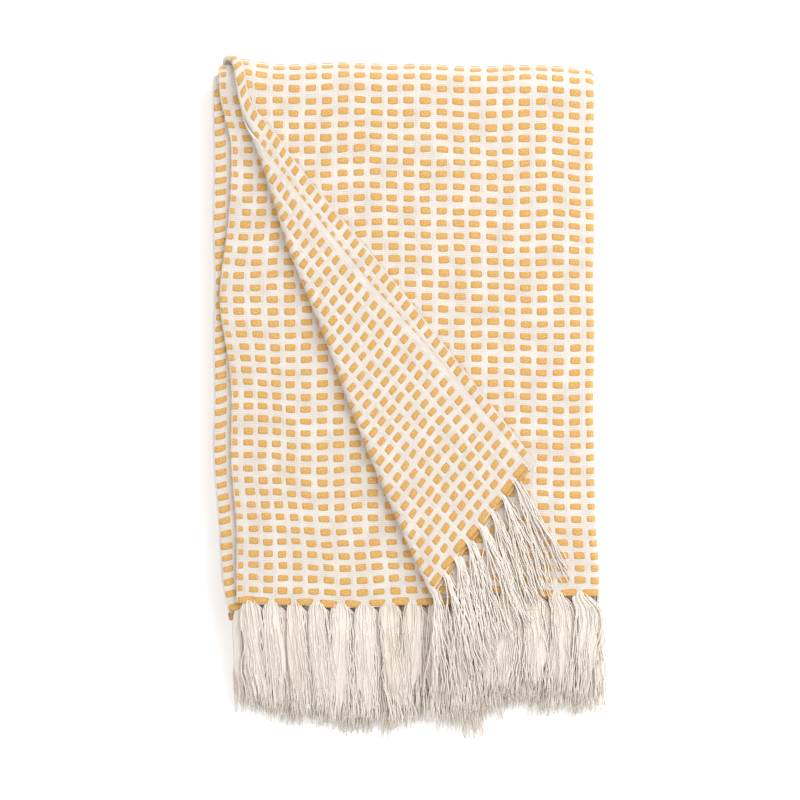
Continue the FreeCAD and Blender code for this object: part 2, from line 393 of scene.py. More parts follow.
def grid_faces(rows, columns):
    """Quads over a grid of vertices stored row by row."""
    i = np.arange(rows - 1)[:, None] * columns + np.arange(columns - 1)[None, :]
    return np.stack((i, i + 1, i + columns + 1, i + columns), axis=-1).reshape(-1, 4)


def grid_rim(rows, columns):
    """The vertices round a grid, in the turning sense of its quads."""
    return np.concatenate(
        (
            np.arange(columns),
            np.arange(1, rows) * columns + columns - 1,
            (rows - 1) * columns + np.arange(columns - 2, -1, -1),
            np.arange(rows - 2, 0, -1) * columns,
        )
    )


def shell(name, middle, uv, thickness, material, flip=False):
    """A closed cloth of even thickness about a grid of points. Its first face is on the side
    that the columns crossed with the rows point to, unless it is flipped."""
    rows, columns = middle.shape[:2]
    normal = unit(np.cross(np.gradient(middle, axis=1), np.gradient(middle, axis=0)))
    count = rows * columns
    verts = np.concatenate(
        [(middle + normal * (side * thickness / 2)).reshape(-1, 3) for side in (1, -1)]
    )
    upper = grid_faces(rows, columns)
    rim = grid_rim(rows, columns)
    nxt = np.roll(rim, -1)
    wall = np.stack((nxt, rim, rim + count, nxt + count), axis=-1)
    faces = np.concatenate((upper, upper[:, ::-1] + count, wall))
    if flip:
        faces = faces[:, ::-1]
    uvs = np.tile(uv.reshape(-1, 2), (2, 1))
    return new_object(name, verts, faces, uvs, materials=[material], angle=50.0)


def tube_faces(count, steps, sides, way=1):
    """Faces of closed tubes of points, ring by ring, whose rings turn left-handed along them. A
    way of -1 is for right-handed ones."""
    j, k = np.meshgrid(np.arange(steps - 1) * sides, np.arange(sides), indexing="ij")
    k2 = (k + 1) % sides
    wall = np.stack((j + sides + k, j + sides + k2, j + k2, j + k), axis=-1).reshape(1, -1, 4)
    first = np.arange(count)[:, None] * steps * sides
    end = np.arange(sides)
    faces = []
    for part in (wall + first[..., None], end + first, end[::-1] + (steps - 1) * sides + first):
        faces += part.reshape(-1, part.shape[-1])[:, ::way].tolist()
    return faces


def on_surface(surface, c, s, height):
    """Points at a height over a side of a surface: positive over its face, negative under."""
    e = 0.4 * MM
    tangent_c = surface(c + e, s) - surface(c - e, s)
    tangent_s = surface(c, s + e) - surface(c, s - e)
    return surface(c, s) + unit(np.cross(tangent_c, tangent_s)) * height[..., None]


def pillow(along_it, rise, across_it, crown):
    """A low pad as unit places along and across it and heights, rounded at its corners."""
    u, v = np.meshgrid(along_it, across_it)
    return u * (1 - 0.07 * np.abs(2 * v) ** 4), v * (1 - 0.2 * np.abs(2 * u) ** 6), np.outer(
        crown, rise)


BLOCK = pillow((-0.5, -0.42, -0.28, -0.1, 0.1, 0.28, 0.42, 0.5),
               (0.0, 0.72, 1.0, 1.05, 1.05, 1.0, 0.72, 0.0),
               (-0.5, -0.4, -0.17, 0.0, 0.17, 0.4, 0.5), (0.0, 0.88, 0.68, 1.0, 0.68, 0.88, 0.0))
RIB = pillow((-0.5, -0.25, 0.25, 0.5), (0.0, 0.8, 0.8, 0.0), (-0.5, -0.32, 0.0, 0.32, 0.5),
             (0.0, 0.6, 1.0, 0.6, 0.0))


def pads(name, centres, surface, face, shape, width, height, rise, material, seed, sway=0.035,
         tilt=0.0):
    """Pads of one shape on a face of the cloth, each a little unlike the next."""
    rng = np.random.default_rng(seed)
    u, v, lift = shape
    rows, columns = u.shape
    n = len(centres)
    jitter = rng.normal(0.0, 1.0, (7, n, 1, 1)).clip(-2, 2)
    w = width * (1 + 0.05 * jitter[0])
    h = height * (1 + 0.07 * jitter[1] + 0.07 * u * jitter[5])
    c = centres[:, 0, None, None] + 0.25 * MM * jitter[2] + u * w
    s = centres[:, 1, None, None] + 0.3 * MM * jitter[3] + v * h + u * w * (sway * jitter[4] + tilt)
    s = s + 0.25 * MM * jitter[6] * (1 - 4 * u * u)
    level = bpy.context.scene.throw_sizes.thickness / 2 - 0.15 * MM + (0.15 * MM + rise) * lift
    level = np.broadcast_to(level, c.shape)
    verts = on_surface(surface, c, s, level * face).reshape(-1, 3)
    quads = grid_faces(rows, columns)
    rim = grid_rim(rows, columns)[::-1]
    if face < 0:
        quads, rim = quads[:, ::-1], rim[::-1]
    first = np.arange(n) * rows * columns
    faces = (quads[None] + first[:, None, None]).reshape(-1, 4).tolist()
    faces += (rim[None] + first[:, None]).tolist()
    # Painted shade: 0.8 at the pad's border, where the weft dives under, and 0.4 in the hollows
    # between its yarns.
    dark = np.where(lift < 0.3, 0.8, np.where(lift < 0.65, 0.4, 0.0))
    uv = np.stack((c, s), axis=-1).reshape(-1, 2)
    rim_painted_shade = np.broadcast_to(dark, c.shape).reshape(-1)
    return new_object(name, verts, faces, uv, [material], {"rim": rim_painted_shade})


def strands(name, paths, radius, tone, material, seed):
    """Yarns along paths, as thin closed four-sided tubes that narrow at their tips."""
    rng = np.random.default_rng(seed)
    count, steps = paths.shape[:2]
    sides = 4
    way = unit(np.gradient(paths, axis=1))
    side = unit(np.cross(way, (0.0, 0.0, 1.0)))
    other = np.cross(side, way)
    angle = rng.uniform(-0.5, 0.5, (count, 1, 1)) + (np.arange(sides) + 0.5) * math.pi / 2
    taper = np.interp(np.linspace(0, 1, steps), (0, 0.05, 0.93, 1), (0.5, 1.0, 0.95, 0.55))
    r = radius[:, None, None] * taper[None, :, None]
    ring = paths[:, :, None] + (r * np.cos(angle))[..., None] * side[:, :, None]
    ring = ring + (0.8 * r * np.sin(angle))[..., None] * other[:, :, None]
    length = np.linalg.norm(np.diff(paths, axis=1, prepend=paths[:, :1]), axis=-1).cumsum(axis=1)
    u = np.broadcast_to(length[:, :, None], ring.shape[:3])
    start = np.arange(count)[:, None, None] * 5 * MM
    v = np.broadcast_to(start + np.arange(sides) * 1.0 * MM, ring.shape[:3])
    uv = np.stack((u, v), axis=-1).reshape(-1, 2)
    tones = np.broadcast_to(tone[:, None, None], ring.shape[:3]).reshape(-1)
    return new_object(name, ring.reshape(-1, 3), tube_faces(count, steps, sides), uv, [material],
                      {"tone": tones})


# ---------------------------------------------------------------- materials

def linear(hex_colour):
    """An sRGB hex colour as linear RGBA."""
    channels = [int(hex_colour[i:i + 2], 16) / 255 for i in (0, 2, 4)]
    return [c / 12.92 if c <= 0.04045 else ((c + 0.055) / 1.055) ** 2.4 for c in channels] + [1.0]


def add_node(tree, kind, settings=None, links=None):
    """Adds a node, sets its properties and input values, and links its inputs."""
    node = tree.nodes.new(kind)
    for key, value in (settings or {}).items():
        if isinstance(key, str) and hasattr(node, key):
            setattr(node, key, value)
        else:
            node.inputs[key].default_value = value
    for key, socket in (links or {}).items():
        tree.links.new(socket, node.inputs[key])
    return node


def new_material(name, roughness, sheen):
    """A matt material, its tree and its shader."""
    material = bpy.data.materials.new(name)
    material.use_nodes = True
    tree = material.node_tree
    shader = tree.nodes["Principled BSDF"]
    shader.inputs["Roughness"].default_value = roughness
    shader.inputs["Specular IOR Level"].default_value = 0.25
    shader.inputs["Sheen Weight"].default_value = sheen
    shader.inputs["Sheen Roughness"].default_value = 0.6
    return material, tree, shader


def yarn_ribs(tree, uv, pitch, turn, distortion=1.5):
    """Parallel yarns of a real pitch in metres: a wave across the UV, in cloth metres."""
    place = add_node(tree, "ShaderNodeMapping", {"Rotation": (0, 0, turn)}, {"Vector": uv})
    # A bands wave at scale 1 repeats every 2 pi / 20 units.
    scale = 2 * math.pi / 20 / pitch
    return add_node(
        tree, "ShaderNodeTexWave",
        {"wave_type": "BANDS", "bands_direction": "X", "Scale": scale, "Distortion": distortion,
         "Detail": 2.0, "Detail Scale": 1.6},
        {"Vector": place.outputs["Vector"]})


def two_tone(tree, factor, low, high, dark, light):
    """A ramp from a dark colour at one value to a light one at another."""
    ramp = add_node(tree, "ShaderNodeValToRGB", links={"Fac": factor})
    for element, place, colour in zip(ramp.color_ramp.elements, (low, high), (dark, light)):
        element.position = place
        element.color = linear(colour)
    return ramp.outputs["Color"]


def new_cotton(name, roughness, sheen):
    """A cotton material, its tree, its shader and its UV."""
    material, tree, shader = new_material(name, roughness, sheen)
    uv = add_node(tree, "ShaderNodeUVMap", {"uv_map": "UVMap"}).outputs["UV"]
    return material, tree, shader, uv


def dress(tree, shader, colour, height, strength, depth):
    """Colours the surface, and raises it by a pattern."""
    tree.links.new(colour, shader.inputs["Base Color"])
    bump = add_node(
        tree, "ShaderNodeBump", {"Strength": strength, "Distance": depth}, {"Height": height})
    tree.links.new(bump.outputs["Normal"], shader.inputs["Normal"])


def ground_cotton(colours):
    """Undyed cotton ground, plain woven: 1.1 mm warp yarns crossed by 1.6 mm weft yarns, matt and
    slightly hairy, with painted shade in the hollows between yarns and darker random patches."""
    material, tree, shader, uv = new_cotton("undyed_cotton_plain_weave", 0.92, 0.25)
    warp = yarn_ribs(tree, uv, 1.1 * MM, 0.0)
    weft = yarn_ribs(tree, uv, 1.63 * MM, math.pi / 2)
    weave = add_node(
        tree, "ShaderNodeMath", {"operation": "MULTIPLY"},
        {0: warp.outputs["Fac"], 1: weft.outputs["Fac"]})
    patches = add_node(tree, "ShaderNodeTexNoise", {"Scale": 55.0, "Detail": 3.0}, {"Vector": uv})
    mixed = add_node(
        tree, "ShaderNodeMath", {"operation": "MULTIPLY_ADD", 1: 0.5},
        {0: weave.outputs["Value"], 2: patches.outputs["Fac"]})
    # Painted shade: the cream darkens where the weave is low, between yarns; the noise patches add
    # random tone.
    colour = two_tone(
        tree, mixed.outputs["Value"], 0.4, 0.78, colours.cream_painted_shade_and_tone, colours.cream)
    dress(tree, shader, colour, weave.outputs["Value"], 0.6, 0.4 * MM)
    return material


def dyed_weft(colours):
    """Mustard cotton weft, softly spun: fibres run along it and twist, its colour drifts from amber
    to mustard from yarn to yarn, with painted shade where it dives under the warp and in the hollows
    between its yarns, and darker lines along its twist."""
    material, tree, shader, uv = new_cotton("mustard_cotton_weft", 0.88, 0.3)
    twist = yarn_ribs(tree, uv, 1.25 * MM, math.radians(28), 3.0)
    drift = add_node(tree, "ShaderNodeTexNoise", {"Scale": 260.0, "Detail": 5.0}, {"Vector": uv})
    hue = two_tone(tree, drift.outputs["Fac"], 0.4, 0.6, colours.mustard, colours.amber)
    hairs = add_node(tree, "ShaderNodeTexNoise", {"Scale": 800.0, "Detail": 3.0}, {"Vector": uv})
    pale = add_node(
        tree, "ShaderNodeMapRange", {"From Min": 0.48, "From Max": 0.68, "To Max": 0.8},
        {"Value": hairs.outputs["Fac"]})
    hue = add_node(
        tree, "ShaderNodeMix", {"data_type": "RGBA", 7: linear(colours.fleck)},
        {0: pale.outputs["Result"], 6: hue}).outputs[2]
    # Painted shade: the rim value darkens the border and the hollows between yarns; the twist adds
    # darker lines.
    edge = add_node(tree, "ShaderNodeAttribute", {"attribute_name": "rim"})
    shade = add_node(
        tree, "ShaderNodeMath", {"operation": "MULTIPLY_ADD", "use_clamp": True, 1: 0.3},
        {0: twist.outputs["Fac"], 2: edge.outputs["Fac"]})
    dark = add_node(
        tree, "ShaderNodeMix", {"data_type": "RGBA", 7: linear(colours.mustard_painted_shade)},
        {0: shade.outputs["Value"], 6: hue})
    dress(tree, shader, dark.outputs[2], twist.outputs["Fac"], 0.7, 0.35 * MM)
    return material


def bundled_cotton(colours):
    """The yarns deep in a tassel, side by side every 1.2 mm along it, with painted shade between
    them.
    """
    material, tree, shader, uv = new_cotton("undyed_cotton_fringe_bundle", 0.92, 0.3)
    yarns = yarn_ribs(tree, uv, 1.2 * MM, math.pi / 2, 3.0)
    # Painted shade between the yarns of the bundle.
    colour = two_tone(tree, yarns.outputs["Fac"], 0.0, 0.5, colours.fringe_shade, colours.fringe)
    dress(tree, shader, colour, yarns.outputs["Fac"], 0.5, 0.4 * MM)
    return material


def fringe_cotton(colours):
    """Loose two-ply cotton yarn: its ply lines cross it every 1.2 mm, matt, with painted shade along
    the lines and one strand a little darker than the next."""
    material, tree, shader, uv = new_cotton("undyed_cotton_fringe_yarn", 0.9, 0.3)
    ply = yarn_ribs(tree, uv, 1.2 * MM, math.radians(60), 0.6)
    tone = add_node(tree, "ShaderNodeAttribute", {"attribute_name": "tone"})
    mixed = add_node(
        tree, "ShaderNodeMath", {"operation": "MULTIPLY_ADD", 1: 0.3},
        {0: ply.outputs["Fac"], 2: tone.outputs["Fac"]})
    # Painted shade along the ply lines; the strand's tone darkens some strands at random.
    colour = two_tone(
        tree, mixed.outputs["Value"], 0.0, 0.8, colours.fringe_shade, colours.fringe)
    dress(tree, shader, colour, ply.outputs["Fac"], 0.5, 0.3 * MM)
    return material


def white_floor(colours):
    """Matt white card: plain, because nothing but the soft shadow should show on it."""
    material, _, shader = new_material("white_card", 0.95, 0.0)
    shader.inputs["Base Color"].default_value = linear(colours.floor)
    shader.inputs["Emission Color"].default_value = linear(colours.floor)
    shader.inputs["Emission Strength"].default_value = 0.22
    return material


MAKERS = {
    "ground": ground_cotton, "weft": dyed_weft, "yarn": fringe_cotton, "bundle": bundled_cotton,
    "floor": white_floor,
}
MADE = {}


def finish_of(kind):
    """The material of a kind of yarn, made once."""
    if kind not in MADE:
        MADE[kind] = MAKERS[kind](bpy.context.scene.throw_colours)
    return MADE[kind]


# ---------------------------------------------------------------- the cloth

ROLL_BANDS = {
    1: ((0, 0, 42.8 * MM), (0, 0, 44.2 * MM)),
    2: ((0, 0, 41.2 * MM), (0, 0, 46.8 * MM)),
}
HEM_STRIP = 9 * MM  # from the hem to the first row of blocks


def samples(stops, counts):
    """Values along a line, with a count of steps between each pair of stops."""
    parts = [np.linspace(a, b, n + 1)[:-1] for a, b, n in zip(stops, stops[1:], counts)]
    return np.concatenate(parts + [np.array([stops[-1]])])


def cloth_half(name, first_run, last_run, counts):
    """Part of the folded cloth between two places along its length. The part with the first hem
    leaves out the corner that is turned back."""
    sizes = bpy.context.scene.throw_sizes
    c = samples(SPANS, (44, 10, 44, 6, 44, 6, 44))
    inside = [r for r in RUNS if first_run < r < last_run]
    cc, ss = np.meshgrid(c, samples([first_run] + inside + [last_run], counts))
    if first_run == 0.0:
        ss = ss + hem_run(c)[None, :] * smooth(1 - ss / RUNS[1])
        cut = crease_x(np.where(ss < RUNS[2], ss + HEM_Y[0], APEX_Y)) - LEFT_X
        share = (PANEL - cut) / PANEL
        share_second = (PANEL - np.maximum(cut, set_in(ss))) / PANEL
        cc = np.where(cc <= SPANS[1], PANEL - (PANEL - cc) * share, cc)
        cc = np.where(cc >= SPANS[6], SPANS[6] + (cc - SPANS[6]) * share_second, cc)
    else:
        share = smooth((ss - RUNS[6]) / (RUNS[7] - RUNS[6]))
        ss = ss + (hem_run(c, last=True) - RUNS[7])[None, :] * share
    return shell(name, lay(cc, ss), np.stack((cc, ss), axis=-1), sizes.thickness,
                 finish_of("ground"))


def turned_sheet(name, order):
    """One turned layer, from the crease to its selvedge and hem."""
    sizes = bpy.context.scene.throw_sizes
    every = np.linspace(HEM_Y[0], APEX_Y, 2001)
    left = crease_x(every) - LEFT_X - (order == 2) * set_in(every - HEM_Y[0])
    last = every[left > 0.25 * MM].max()
    y = samples((HEM_Y[0], min(TOP_Y, last - 20 * MM), last), (90, 12))
    width = crease_x(y) - LEFT_X
    edge = width - (order == 2) * set_in(y - HEM_Y[0])
    roll = np.minimum(math.pi * turned_radius(order) / -CREASE_DOWN[1], edge)
    steps = np.concatenate(
        (
            np.linspace(0, 1, 9)[None, :-1] * roll[:, None],
            roll[:, None] + np.linspace(0, 1, 35)[None, :] * (edge - roll)[:, None],
        ),
        axis=1,
    )
    x, y = crease_x(y)[:, None] - steps, np.repeat(y[:, None], steps.shape[1], axis=1)
    uv = np.stack((x - LEFT_X, y - HEM_Y[0]), axis=-1)
    return shell(name, turn_back(order, x, y), uv, sizes.thickness, finish_of("ground"), flip=True)


class THROW_OT_cloth(bpy.types.Operator):
    """Model the folded cloth, as three lengths that meet behind the top fold and at the back"""

    bl_idname = "throw.cloth"
    bl_label = "Folded Cloth"

    def execute(self, context):
        outer = cloth_half("cloth_outer", 0.0, RUNS[2], (90, 24))
        back = cloth_half("cloth_back", RUNS[2], RUNS[4], (40, 12))
        inner = cloth_half("cloth_inner", RUNS[4], RUNS[7], (40, 8, 90))
        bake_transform(outer)
        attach(back, "root")
        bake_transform(inner)
        for piece, layers, folds in (
            (outer, range(1, 5), ["top_fold_%d" % n for n in range(1, 5)]),
            (back, range(13, 17), ["bottom_fold_%d" % n for n in range(1, 5)]),
            (inner, range(5, 13), ["top_fold_%d" % n for n in range(5, 9)]),
        ):
            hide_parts(*["cloth_layer_%02d" % n for n in layers], *folds)
        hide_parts("side_folds_front_outer")
        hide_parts("side_folds_back_outer")
        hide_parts("side_folds_front_inner", "side_folds_back_inner")
        return {"FINISHED"}


class THROW_OT_turned_corner(bpy.types.Operator):
    """Model the two layers of the corner that is turned back over the crease"""

    bl_idname = "throw.turned_corner"
    bl_label = "Turned Corner"

    def execute(self, context):
        for order, name in ((1, "corner_lower_layer"), (2, "corner_upper_layer")):
            piece = turned_sheet(name, order)
            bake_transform(piece)
            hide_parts("turned_layer_%d" % order, "crease_roll_%d" % order)
        return {"FINISHED"}


# ---------------------------------------------------------------- the weft blocks

def block_places():
    """Places of all the weft blocks on the flat cloth, with the span and run each lies in and
    where that is on the stack."""
    sizes = bpy.context.scene.throw_sizes
    c = 3.9 * MM + np.arange(0, SPANS[7] / sizes.column - 0.5) * sizes.column
    c += 2.2 * MM * smooth((c - 0.35) / 0.15) - 4.4 * MM * smooth((c - 0.75) / 0.1)
    first = HEM_STRIP + 3.2 * MM - sizes.row
    s = first + np.arange(0, RUNS[7] / sizes.row) * sizes.row
    cc, ss = (a.ravel() for a in np.meshgrid(c, s))
    from_first = ss - hem_run(cc)
    from_last = hem_run(cc, last=True) - ss
    keep = (from_first > HEM_STRIP - 1 * MM) & (from_last > HEM_STRIP - 1 * MM)
    cc, ss = cc[keep], ss[keep]
    span = np.searchsorted(SPANS, cc, side="right") - 1
    run = np.searchsorted(RUNS, ss, side="right") - 1
    run = np.where(ss < 0, 0, run)
    x, depth = across(cc)
    y = along(ss, depth)[0]
    return cc, ss, span, run, x, y


def from_crease(x, y):
    """How far a flat place is out past the crease, towards the turned corner."""
    return (np.stack((x - crease_bend(y), y), axis=-1) - CREASE_FOOT) @ CREASE_LEFT


def strip_surface(c, s):
    """The left edge of the inner layers, where a whole column of blocks shows."""
    return lay(np.where(np.abs(c - SPANS[3]) < 0.05, c + 5.7 * MM, c), s)


def block_groups():
    """For each group of blocks: which places, on what surface and face, and how it moves."""
    cc, ss, span, run, x, y = block_places()
    flat_y = np.where(run <= 1, HEM_Y[0] + ss, y)
    out = from_crease(x, flat_y)
    out_second = from_crease(x + set_in(flat_y - HEM_Y[0]), flat_y)
    inside = x > LEFT_X + 1 * MM
    half = 5 * MM
    first, second, third = span == 0, span == 6, span == 4
    edges = (span == 1) | (span == 3)
    on_front, on_top = run == 0, run == 1
    corner = (on_front | on_top) & (flat_y < APEX_Y - 4 * MM)
    strip = (span == 2) & (run == 6) & (x < LEFT_X + 30 * MM)
    left_fold = (span == 3) & on_front
    groups = {
        "front": (on_front & ((first & (out < -half)) | (span == 1)), 1, lay, "front_half"),
        "under_corner": (left_fold | on_front & third & (out > -14 * MM), 1, lay, "front_half"),
        "left_strip": (strip | ((span == 1) & (run == 6)), 1, strip_surface, "front_half"),
        "top_fold": (on_top & (first & ((out < -half) | ~corner) | edges), 1, lay, "outer"),
        "back": (((run == 2) | (run == 3)) & (first | edges), 1, lay, "root"),
        "inner_back": ((run == 4) & (first | edges), 1, lay, "root"),
        "inner_front": ((run == 6) & first, 1, lay, "front_half"),
        "corner_first_under": (corner & first & (out >= -half), 1, corner_surface(1), 1),
        "corner_first_over": (corner & first & (out > 5 * MM) & (x < LEFT_X + 34 * MM), -1,
                              corner_surface(1), 1),
        "corner_second": (corner & second & (out_second >= -half) & inside, 1, corner_surface(2),
                          2),
    }
    return flat_places(cc, ss), groups


def move_with(piece, how):
    """Rides a piece on a body, or bakes its place into its mesh where it lies across the fold or the
    roll.
    """
    if how == "outer":
        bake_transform(piece)
    elif how in ROLL_BANDS:
        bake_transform(piece)
    else:
        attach(piece, how)


class THROW_OT_weft_blocks(bpy.types.Operator):
    """Model the mustard weft blocks on the faces that show, and the warp ribs between them"""

    bl_idname = "throw.weft_blocks"
    bl_label = "Weft Blocks"

    def execute(self, context):
        sizes = context.scene.throw_sizes
        centres, groups = block_groups()
        for seed, (name, (chosen, face, surface, how)) in enumerate(groups.items()):
            places = centres[chosen]
            if not len(places):
                raise RuntimeError("no weft blocks on " + name)
            blocks = pads("weft_blocks_" + name, places, surface, face, BLOCK, sizes.block_width,
                          sizes.block_height, 0.42 * MM, finish_of("weft"), 100 + seed,
                          tilt=0.15 if name == "left_strip" else 0.0)
            between = places + np.array((sizes.column / 2, 0.0))
            ribs = pads("warp_ribs_" + name, between, surface, face, RIB, 4.2 * MM, 9.4 * MM,
                        0.26 * MM, finish_of("ground"), 200 + seed)
            for piece, slot in ((blocks, "mustard_weft"), (ribs, "woven_cotton")):
                move_with(piece, how)
        return {"FINISHED"}


# ---------------------------------------------------------------- hems and fringe

HEM_BLOCK_WIDTH = 15 * MM
HEM_BLOCK_T = 2.5 * MM  # middle of the hem's wide blocks, in from its edge
CORD_T = 0.3 * MM  # the same for the cord
CORD_STEP = 3 * MM  # from one ring of the cord to the next


def flat_places(c, s):
    """Places on the flat cloth as rows: across its width and along its length."""
    return np.stack(np.broadcast_arrays(c, s), axis=-1)


def layer_place(n, x, t):
    """Place on the flat cloth of a point of layer 1 to 8, at x and t in from its hem."""
    span = {1: 0, 2: 6, 3: 4, 4: 2, 5: 2, 6: 4, 7: 6, 8: 0}[n]
    x = x if n <= 4 else x - INNER_SHIFT
    c = SPANS[span] + (x - LEFT_X if span in (0, 4) else RIGHT_X - x)
    if n <= 4:
        return c, HEM_Y[n - 1] - HEM_Y[0] + t
    return c, RUNS[7] + HEM_Y[7] - HEM_Y[n - 1] - t


def hem_range(n):
    """Left and right ends of a layer's hem."""
    shift = 0.0 if n <= 4 else INNER_SHIFT
    left = CREASE_FOOT[0] if n <= 2 else LEFT_X
    return left + shift, RIGHT_X + shift


def tassel_centres(n):
    """Middles of a layer's tassels along its hem."""
    pitch = bpy.context.scene.throw_sizes.tassel_pitch
    left = hem_range(n)[0]
    shift = 0.0 if n <= 4 else INNER_SHIFT
    x = LEFT_X + shift + (np.arange(15) + 0.5) * pitch
    return x[x > left + 3 * MM]


def turned_places(order):
    """Middles of a turned layer's tassels, as x in the flat, unturned corner."""
    pitch = bpy.context.scene.throw_sizes.tassel_pitch
    x = CREASE_FOOT[0] - 12 * MM - np.arange(8) * (pitch - 0.4 * MM)
    if order == 2:
        return x
    upper, lower = (turn_back(i, x, np.full_like(x, HEM_Y[0])) for i in (2, 1))
    # The lower layer's tassels hang under the upper one's.
    shift = float(np.mean((upper - lower) @ unit(upper[-1] - upper[0])))
    return x - (shift - pitch * round(shift / pitch))


def tube(name, path, radius, material):
    """A closed tube along a path, of six sides."""
    steps, sides = len(path), 6
    way = unit(np.gradient(path, axis=0))
    side = unit(np.cross(way, (0.0, 0.0, 1.0)))
    other = np.cross(side, way)
    angle = np.arange(sides) * 2 * math.pi / sides
    ring = path[:, None] + radius * (
        np.cos(angle)[None, :, None] * side[:, None] + np.sin(angle)[None, :, None] * other[:, None])
    length = np.linalg.norm(np.diff(path, axis=0, prepend=path[:1]), axis=-1).cumsum()
    u = np.repeat(length[:, None], sides, axis=1)
    v = np.broadcast_to(angle * radius, u.shape)
    uv = np.stack((u, v), axis=-1).reshape(-1, 2)
    return new_object(name, ring.reshape(-1, 3), tube_faces(1, steps, sides), uv, [material],
                      {"tone": np.full(len(uv), 0.7)})


def hem_pieces(name, centres, edge, surface, how):
    """The wide blocks of one hem on both its faces, and the cord along its edge."""
    sizes = bpy.context.scene.throw_sizes
    made = []
    for face, side in ((1, "over"), (-1, "under")):
        made.append(pads("%s_%s" % (name, side), centres, surface, face, BLOCK, HEM_BLOCK_WIDTH,
                         5.8 * MM, 0.5 * MM, finish_of("weft"), 300 + len(name), 0.06))
    path = surface(edge[:, 0], edge[:, 1])
    made.append(tube(name + "_cord", path, sizes.thickness * 0.5, finish_of("yarn")))
    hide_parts(name.replace("hem_", "hem_row_"))
    for piece in made:
        move_with(piece, how)


class THROW_OT_hems(bpy.types.Operator):
    """Model each layer's hem: wide weft blocks between the tassels and a twined cord"""

    bl_idname = "throw.hems"
    bl_label = "Hems"

    def execute(self, context):
        pitch = context.scene.throw_sizes.tassel_pitch
        for n in range(1, 9):
            left, right = hem_range(n)
            x = tassel_centres(n)
            x = np.append(x - pitch / 2, x[-1] + pitch / 2 - 2.5 * MM)
            x = np.maximum(x, left + 6.6 * MM)
            edge_x = np.arange(left, right, CORD_STEP)
            hem_pieces("hem_%d" % n, flat_places(*layer_place(n, x, HEM_BLOCK_T)),
                       flat_places(*layer_place(n, edge_x, CORD_T)), lay, "front_half")
        for order in (1, 2):
            x = turned_places(order)
            x = np.append(x + pitch / 2, x[-1] - pitch / 2)
            sign = 1 if order == 1 else -1
            base = -LEFT_X if order == 1 else SPANS[6] + RIGHT_X
            edge_x = np.arange(CREASE_FOOT[0] - 2 * MM, LEFT_X, -CORD_STEP)
            hem_pieces("turned_hem_%d" % order, flat_places(base + sign * x, HEM_BLOCK_T),
                       flat_places(base + sign * edge_x, CORD_T), corner_surface(order), order)
        return {"FINISHED"}


ROOT = 4 * MM  # how far up over the hem each tassel starts
SPLAY_LENGTH = 12 * MM  # within which a tassel moves over between the ones above it
LEAN = 3.2 * MM  # how far the tip of a tassel of lean 1 strays

# Length of the tassels at places in metres across the throw, as a share of FRINGE.
FRINGE_ENDS = (
    (-0.150, 0.86), (-0.128, 0.88), (-0.112, 0.99), (-0.095, 0.98), (-0.085, 0.95),
    (-0.072, 1.05), (-0.015, 1.05), (0.000, 0.92), (0.012, 0.87), (0.024, 1.08), (0.036, 1.09),
    (0.048, 1.04), (0.058, 0.87), (0.100, 0.85), (0.131, 0.90), (0.150, 0.88),
)


def fall(y):
    """How far down the fringe has come at y, from 0 at the drop to 1 at the floor."""
    t = np.clip((DROP_Y - y) / (DROP_Y - min(HEM_Y) + FRINGE), 0, 1.1)
    return (np.sqrt(t * t + 0.01) - 0.1) / 0.905


def tassel_strands(rng, tassels, per_tassel, length):
    """Random facts of each strand: its tassel, place in it, height in it, length and waves."""
    count = tassels * per_tassel
    tassel = np.repeat(np.arange(tassels), per_tassel)
    facts = {
        "tassel": tassel,
        "place": rng.uniform(-1, 1, count),
        "height": rng.uniform(0, 1, count),
        "length": length * np.repeat(rng.uniform(0.93, 1.03, tassels), per_tassel)
        * rng.uniform(0.93, 1.02, count),
        "lean": np.repeat(rng.normal(0, 1.25, tassels).clip(-2.5, 2.5), per_tassel),
        "spread": np.repeat(rng.uniform(0.7, 1.6, tassels), per_tassel),
        "tone": np.repeat(rng.uniform(0.2, 0.4, tassels), per_tassel) + rng.uniform(0, 0.45, count),
    }
    facts["waves"] = rng.uniform(0, 1, (8, count))
    return facts


def crimp(facts, q):
    """Sideways waver of each strand at a distance q from its hem."""
    a = facts["waves"][:, :, None]
    free = smooth(q / (20 * MM))
    fine = (0.2 + 0.35 * a[0]) * np.sin(q * 2 * math.pi / ((11 + 9 * a[1]) * MM) + a[2] * 6.3)
    slow = (0.5 + 1.6 * a[3] ** 2) * np.sin(q * 2 * math.pi / ((38 + 40 * a[4]) * MM) + a[5] * 6.3)
    return (fine * (0.4 + 0.6 * free) + slow * free) * MM


def gather(q, spread):
    """Half width of a tassel at a distance q from its hem."""
    out = 6.6 + 1.8 * smooth(q / (5 * MM)) + 1.7 * spread * smooth(q / (70 * MM))
    return np.where(q < 0, 6.6 + 3.4 * q / ROOT, out) * MM


def along_tassel(q):
    """How much of a tassel's lean has come at a distance q from its hem, from 0 to 1."""
    return np.clip(q / FRINGE, 0, 1) ** 1.4


def splayed(centres, n):
    """How far a layer's tassels lean right: between the ones above, and out at the edge."""
    return np.maximum(0.0 if n % 2 else 7.5 * MM, 5.5 * MM * smooth((centres - 0.09) / 0.05))


def fringe_level(n, y):
    """Height of the middle of a layer's tassels, which come down from the hem to the floor."""
    down = fall(y)
    return LAYER_Z[n - 1] * (1 - down) + (1.0 + (8 - n) * 1.9) * MM * down


